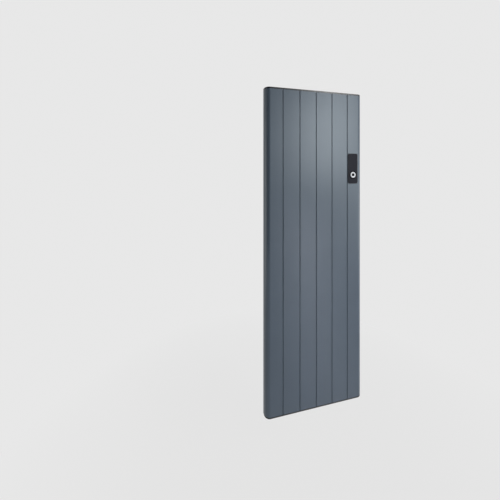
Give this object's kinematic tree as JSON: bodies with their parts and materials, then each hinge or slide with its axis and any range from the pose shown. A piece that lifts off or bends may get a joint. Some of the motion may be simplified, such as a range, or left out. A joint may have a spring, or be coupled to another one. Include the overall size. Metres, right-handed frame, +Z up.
{
  "type": "aluminium radiator",
  "caption": "Tall wall-hung electric radiator of finned aluminium profiles with rounded sides, a slotted top cap and a black glass control panel with a turning dial and push button.",
  "frame": {"origin": "centre of the four wall screws, in the plane of the wall", "axes": "+Z up, +Y from the room into the wall, +X to the right of a person who faces the radiator"},
  "size_m": [0.5, 0.0846, 1.5],
  "materials": {
    "coated_aluminium": "fine satin anthracite powder coat",
    "cap_plastic": "satin dark grey moulding",
    "zinc_screw": "zinc plated",
    "element_sheath": "drawn stainless sheath",
    "ceramic": "unglazed ceramic",
    "loom_sleeve": "woven glass sleeve",
    "coated_steel": "satin powder coat",
    "bracket_steel": "satin powder coat",
    "latch_plastic": "satin moulding",
    "bezel_plastic": "dark gloss moulding",
    "panel_glass": "black printed glass",
    "display": "dark display",
    "circuit_board": "green solder mask",
    "component_plastic": "moulded components",
    "dial_metal": "bright anodised",
    "button_plastic": "black gloss",
    "ribbon": "grey flat cable",
    "box_plastic": "fine textured moulding",
    "rocker_plastic": "black gloss",
    "cutout_metal": "plain"
  },
  "bodies": {
    "radiator": {"left_end_profile": "coated_aluminium", "middle_profile_1": "coated_aluminium", "middle_profile_2": "coated_aluminium", "middle_profile_3": "coated_aluminium", "middle_profile_4": "coated_aluminium", "right_end_profile": "coated_aluminium", "top_outlet_cap": "cap_plastic", "bottom_cap": "cap_plastic", "rail_screws": "zinc_screw", "cover_screws": "zinc_screw", "heating_element_1": "element_sheath", "heating_element_2": "element_sheath", "heating_element_3": "element_sheath", "heating_element_4": "element_sheath", "heating_element_5": "element_sheath", "element_terminals": "ceramic", "wiring_harness": "loom_sleeve", "cutout_lead": "loom_sleeve", "wiring_cover": "coated_steel", "cross_rail_top": "coated_steel", "cross_rail_middle": "coated_steel", "cross_rail_bottom": "coated_steel", "wall_bracket_top": "bracket_steel", "wall_bracket_bottom": "bracket_steel", "latch_pins": "bracket_steel", "control_bezel": "bezel_plastic", "control_glass": "panel_glass", "display_module": "display", "control_board": "circuit_board", "power_board": "circuit_board", "dial_encoder": "component_plastic", "tact_switch": "component_plastic", "relay": "component_plastic", "filter_capacitor": "component_plastic", "terminal_block": "component_plastic", "ribbon_cable": "ribbon", "mounting_plate": "box_plastic", "rear_cover": "box_plastic", "cable_gland": "box_plastic", "switch_frame": "box_plastic", "room_sensor": "box_plastic", "thermal_cutout": "cutout_metal"},
    "dial_ring": {"dial_ring": "dial_metal"},
    "dial_button": {"dial_button": "button_plastic"},
    "power_rocker": {"power_rocker": "rocker_plastic"},
    "bracket_latch_left": {"bracket_latch_left": "latch_plastic"},
    "bracket_latch_right": {"bracket_latch_right": "latch_plastic"}
  },
  "joints": [
    {"name": "dial_turn", "type": "hinge", "parent": "radiator", "child": "dial_ring", "pos_m": [0.19693, -0.084, 0.352], "axis": [0, 1, 0], "continuous": true},
    {"name": "button_press", "type": "slide", "parent": "radiator", "child": "dial_button", "axis": [0, 1, 0], "range_m": [0, 0.001], "stiffness_N_per_m": 1500},
    {"name": "rocker_tilt", "type": "hinge", "parent": "radiator", "child": "power_rocker", "pos_m": [0.23783, -0.026, 0.3445], "axis": [0, -1, 0], "range_deg": [0, 18]},
    {"name": "latch_left_turn", "type": "hinge", "parent": "radiator", "child": "bracket_latch_left", "pos_m": [-0.09, -0.033, 0.606], "axis": [0, -1, 0], "range_deg": [0, 90]},
    {"name": "latch_right_turn", "type": "hinge", "parent": "radiator", "child": "bracket_latch_right", "pos_m": [0.09, -0.033, 0.606], "axis": [0, 1, 0], "range_deg": [0, 90]}
  ]
}
